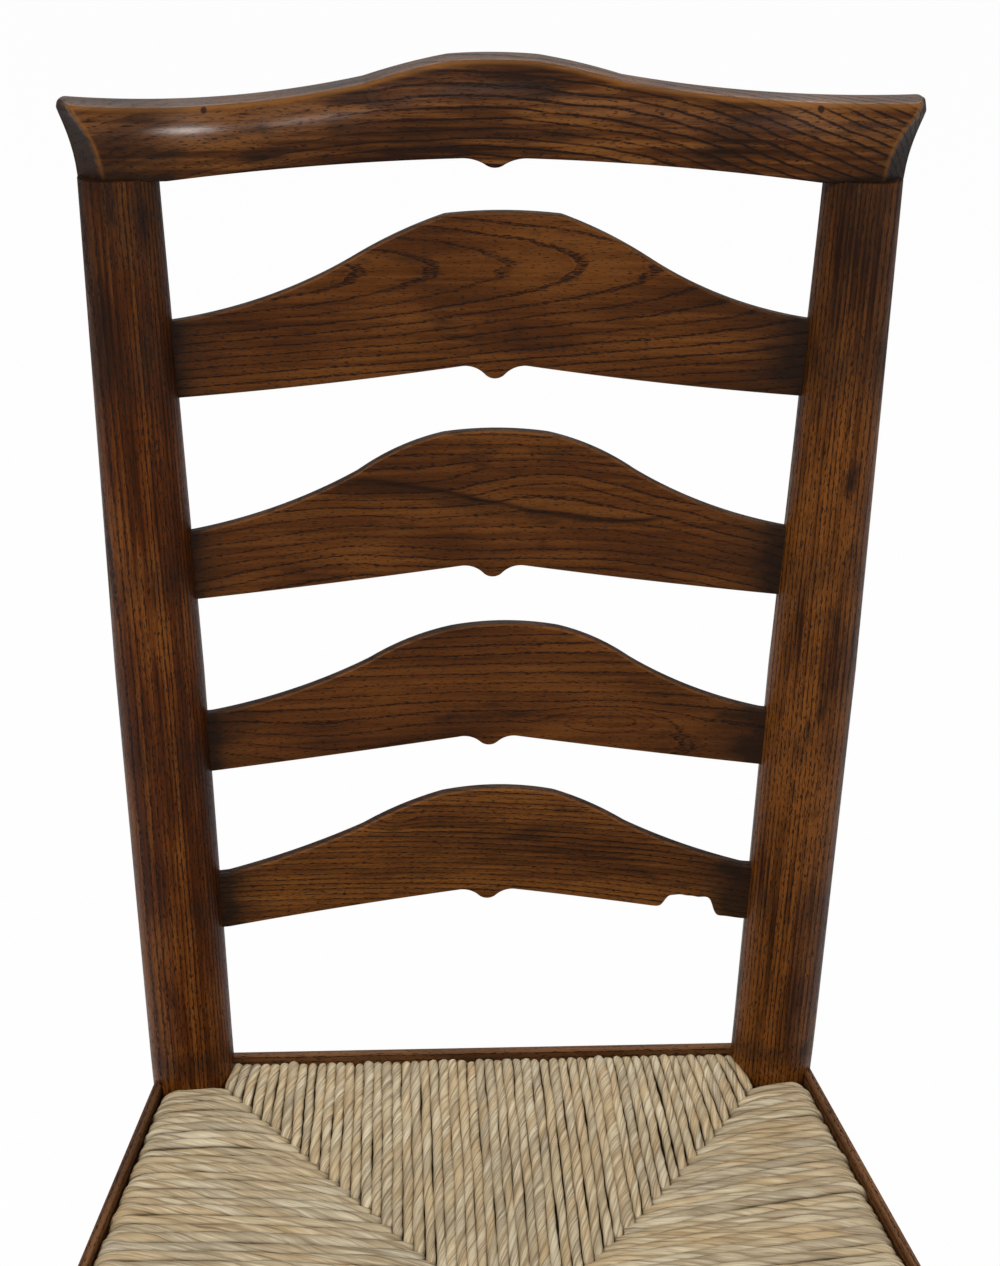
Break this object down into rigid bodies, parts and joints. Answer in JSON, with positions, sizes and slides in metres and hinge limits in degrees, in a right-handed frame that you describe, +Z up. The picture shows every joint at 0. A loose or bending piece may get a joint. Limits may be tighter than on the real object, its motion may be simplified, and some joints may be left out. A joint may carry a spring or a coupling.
{
  "type": "ladderback dining chair",
  "caption": "Wooden ladderback dining chair: raked turned back posts, bowed ogee slats, overlapping crest rail with flared ears, rush seat and turned underframe.",
  "frame": {"origin": "on the floor, under the middle of the chair's bounding box", "axes": "+Z up, +Y towards the chair's back, +X to the picture's right when the chair is looked at from its front"},
  "size_m": [0.5364, 0.4945, 1.011],
  "materials": {
    "post_wood": "dark stained and waxed, satin",
    "crest_wood": "dark stained and waxed, worn glossy on the roll",
    "slat_wood": "dark stained and waxed, satin",
    "frame_wood": "unfinished under the rush",
    "leg_wood": "dark stained and waxed, satin",
    "strip_wood": "dark stained, worn",
    "nail_iron": "dull, oxidised",
    "rush": "dry twisted rush, matt to satin"
  },
  "bodies": {
    "root": {"left_back_post": "post_wood", "right_back_post": "post_wood", "crest_rail": "crest_wood", "top_slat": "slat_wood", "upper_middle_slat": "slat_wood", "lower_middle_slat": "slat_wood", "bottom_slat": "slat_wood", "front_seat_rail": "frame_wood", "back_seat_rail": "frame_wood", "left_seat_rail": "frame_wood", "right_seat_rail": "frame_wood", "left_front_leg": "leg_wood", "right_front_leg": "leg_wood", "front_stretcher": "leg_wood", "left_upper_side_stretcher": "leg_wood", "right_upper_side_stretcher": "leg_wood", "left_lower_side_stretcher": "leg_wood", "right_lower_side_stretcher": "leg_wood", "back_stretcher": "leg_wood", "left_edge_strip": "strip_wood", "right_edge_strip": "strip_wood", "front_edge_strip": "strip_wood", "back_edge_strip": "strip_wood", "rush_seat": "rush"}
  },
  "joints": []
}
